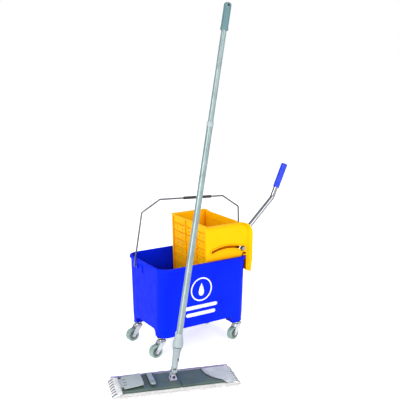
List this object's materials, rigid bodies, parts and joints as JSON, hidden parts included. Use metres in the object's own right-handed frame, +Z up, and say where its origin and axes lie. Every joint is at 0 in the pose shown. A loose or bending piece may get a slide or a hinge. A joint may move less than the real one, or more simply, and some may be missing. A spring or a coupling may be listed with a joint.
{
  "type": "mop and bucket with wringer",
  "caption": "Flat mop with telescopic pole standing beside a rectangular wheeled bucket with wire bail and a lever-worked plate-press wringer hooked on its rim.",
  "frame": {"origin": "centre of the bounding box of the whole set, at floor level", "axes": "+Z up; +X along the bucket's long side, towards the wringer's end; +Y from the mop's side towards the bucket"},
  "size_m": [0.8688, 0.6026, 1.2979],
  "materials": {
    "bucket_plastic": "glossy saturated blue injection-moulded polypropylene",
    "wringer_plastic": "glossy bright yellow moulded plastic",
    "zinc_steel": "zinc-plated pressed steel",
    "castor_core": "grey moulded plastic wheel centre",
    "castor_tyre": "grey-green soft rubber tread",
    "bail_wire": "dark lacquered steel wire",
    "bail_grip_plastic": "black moulded plastic tube",
    "chrome_tube": "chromed steel tube",
    "lever_grip_rubber": "blue ribbed vinyl grip",
    "bolt_steel": "bright steel shaft, washers and nuts",
    "pole_aluminium": "satin anodised aluminium",
    "socket_plastic": "light blue-grey moulded plastic",
    "pole_grip_plastic": "grey-teal moulded plastic",
    "frame_plastic": "dark grey-green moulded plastic",
    "base_plastic": "light lavender-grey moulded plastic",
    "mop_cloth": "off-white microfibre and looped cotton yarn"
  },
  "bodies": {
    "bucket": {"bucket": "bucket_plastic", "castor_front_left_stem": "zinc_steel", "castor_back_left_stem": "zinc_steel", "castor_front_right_stem": "zinc_steel", "castor_back_right_stem": "zinc_steel"},
    "castor_front_left_swivel": {"castor_front_left_fork": "zinc_steel", "castor_front_left_axle": "zinc_steel"},
    "castor_front_left_roller": {"castor_front_left_wheel": "castor_core", "castor_front_left_tyre": "castor_tyre"},
    "castor_back_left_swivel": {"castor_back_left_fork": "zinc_steel", "castor_back_left_axle": "zinc_steel"},
    "castor_back_left_roller": {"castor_back_left_wheel": "castor_core", "castor_back_left_tyre": "castor_tyre"},
    "castor_front_right_swivel": {"castor_front_right_fork": "zinc_steel", "castor_front_right_axle": "zinc_steel"},
    "castor_front_right_roller": {"castor_front_right_wheel": "castor_core", "castor_front_right_tyre": "castor_tyre"},
    "castor_back_right_swivel": {"castor_back_right_fork": "zinc_steel", "castor_back_right_axle": "zinc_steel"},
    "castor_back_right_roller": {"castor_back_right_wheel": "castor_core", "castor_back_right_tyre": "castor_tyre"},
    "bail": {"bail": "bail_wire"},
    "bail_grip": {"bail_grip": "bail_grip_plastic"},
    "wringer": {"wringer_basket": "wringer_plastic", "lever_pivot_pin": "bolt_steel", "lever_pivot_clip": "bolt_steel"},
    "lever": {"lever_tube": "chrome_tube", "lever_grip": "lever_grip_rubber", "guide_shaft": "bolt_steel", "guide_washers": "bolt_steel", "guide_nuts": "bolt_steel"},
    "press_plate": {"press_plate": "wringer_plastic"},
    "mop_head": {"frame_left": "frame_plastic", "base_block": "base_plastic", "fold_pin": "bolt_steel", "joint_pin_lower": "bolt_steel", "mop_cloth_left": "mop_cloth", "flap_pin": "bolt_steel", "pedal_pin": "bolt_steel"},
    "mop_wing": {"frame_right": "frame_plastic", "mop_cloth_right": "mop_cloth"},
    "clamp_flap": {"clamp_flap": "socket_plastic"},
    "foot_pedal": {"foot_pedal": "socket_plastic"},
    "cross": {"joint_cross": "socket_plastic", "joint_pin_upper": "bolt_steel"},
    "pole": {"pole_socket": "socket_plastic", "socket_ring": "socket_plastic", "pole_collar": "socket_plastic", "lock_screw": "bolt_steel", "lower_tube": "pole_aluminium", "tube_sleeve": "socket_plastic"},
    "pole_upper": {"upper_tube": "pole_aluminium", "twist_lock": "socket_plastic", "pole_grip": "pole_grip_plastic"}
  },
  "joints": [
    {"name": "castor_front_left_swivel_turn", "type": "hinge", "parent": "bucket", "child": "castor_front_left_swivel", "pos_m": [-0.1308, 0.05882, 0.06], "axis": [0, 0, 1], "continuous": true},
    {"name": "castor_front_left_wheel_turn", "type": "hinge", "parent": "castor_front_left_swivel", "child": "castor_front_left_roller", "pos_m": [-0.15773, 0.05694, 0.025], "axis": [-0.0698, 0.9976, 0], "continuous": true},
    {"name": "castor_back_left_swivel_turn", "type": "hinge", "parent": "bucket", "child": "castor_back_left_swivel", "pos_m": [-0.1308, 0.25082, 0.06], "axis": [0, 0, 1], "continuous": true},
    {"name": "castor_back_left_wheel_turn", "type": "hinge", "parent": "castor_back_left_swivel", "child": "castor_back_left_roller", "pos_m": [-0.15773, 0.24894, 0.025], "axis": [-0.0698, 0.9976, 0], "continuous": true},
    {"name": "castor_front_right_swivel_turn", "type": "hinge", "parent": "bucket", "child": "castor_front_right_swivel", "pos_m": [0.2152, 0.05882, 0.06], "axis": [0, 0, 1], "continuous": true},
    {"name": "castor_front_right_wheel_turn", "type": "hinge", "parent": "castor_front_right_swivel", "child": "castor_front_right_roller", "pos_m": [0.18925, 0.05138, 0.025], "axis": [-0.2756, 0.9613, 0], "continuous": true},
    {"name": "castor_back_right_swivel_turn", "type": "hinge", "parent": "bucket", "child": "castor_back_right_swivel", "pos_m": [0.2152, 0.25082, 0.06], "axis": [0, 0, 1], "continuous": true},
    {"name": "castor_back_right_wheel_turn", "type": "hinge", "parent": "castor_back_right_swivel", "child": "castor_back_right_roller", "pos_m": [0.18879, 0.24521, 0.025], "axis": [-0.2079, 0.9781, 0], "continuous": true},
    {"name": "bail_swing", "type": "hinge", "parent": "bucket", "child": "bail", "pos_m": [0.0422, 0.15482, 0.3186], "axis": [0.9633, -0.2684, 0], "range_deg": [-26, 0]},
    {"name": "bail_grip_turn", "type": "hinge", "parent": "bail", "child": "bail_grip", "pos_m": [0.02548, 0.09479, 0.5885], "axis": [0.9633, -0.2684, 0], "continuous": true},
    {"name": "wringer_lift", "type": "slide", "parent": "bucket", "child": "wringer", "axis": [0, 0, 1], "range_m": [0, 0.015]},
    {"name": "lever_pull", "type": "hinge", "parent": "wringer", "child": "lever", "pos_m": [0.1422, 0.15482, 0.208], "axis": [0, -1, 0], "range_deg": [0, 39]},
    {"name": "plate_upright", "type": "hinge", "parent": "lever", "child": "press_plate", "pos_m": [0.2152, 0.15482, 0.378], "axis": [0, -1, 0], "range_deg": [-39, 0]},
    {"name": "mop_lift", "type": "slide", "parent": "bucket", "child": "mop_head", "axis": [0, 0, 1], "range_m": [0, 0.3]},
    {"name": "frame_fold", "type": "hinge", "parent": "mop_head", "child": "mop_wing", "pos_m": [-0.19347, -0.16846, 0.0123], "axis": [0.3057, 0.9521, 0], "range_deg": [0, 80]},
    {"name": "flap_open", "type": "hinge", "parent": "mop_head", "child": "clamp_flap", "pos_m": [-0.38485, -0.10701, 0.0195], "axis": [-0.3057, -0.9521, 0], "range_deg": [0, 70]},
    {"name": "pedal_press", "type": "hinge", "parent": "mop_head", "child": "foot_pedal", "pos_m": [-0.26707, -0.09021, 0.0205], "axis": [0.9521, -0.3057, 0], "range_deg": [0, 3], "stiffness_Nm_per_rad": 0.3, "springref_deg": -5.73},
    {"name": "pole_tilt_side", "type": "hinge", "parent": "mop_head", "child": "cross", "pos_m": [-0.21013, -0.16311, 0.029], "axis": [0.3057, 0.9521, 0], "range_deg": [-75, 50]},
    {"name": "pole_tilt_back", "type": "hinge", "parent": "cross", "child": "pole", "pos_m": [-0.20677, -0.16419, 0.04665], "axis": [0.9337, -0.2998, -0.1959], "range_deg": [-12, 75]},
    {"name": "pole_extend", "type": "slide", "parent": "pole", "child": "pole_upper", "axis": [0.2354, 0.1014, 0.9666], "range_m": [-0.3, 0.12]}
  ],
  "couplings": [
    {"joint": "plate_upright", "follows": "lever_pull", "ratio": -1}
  ]
}
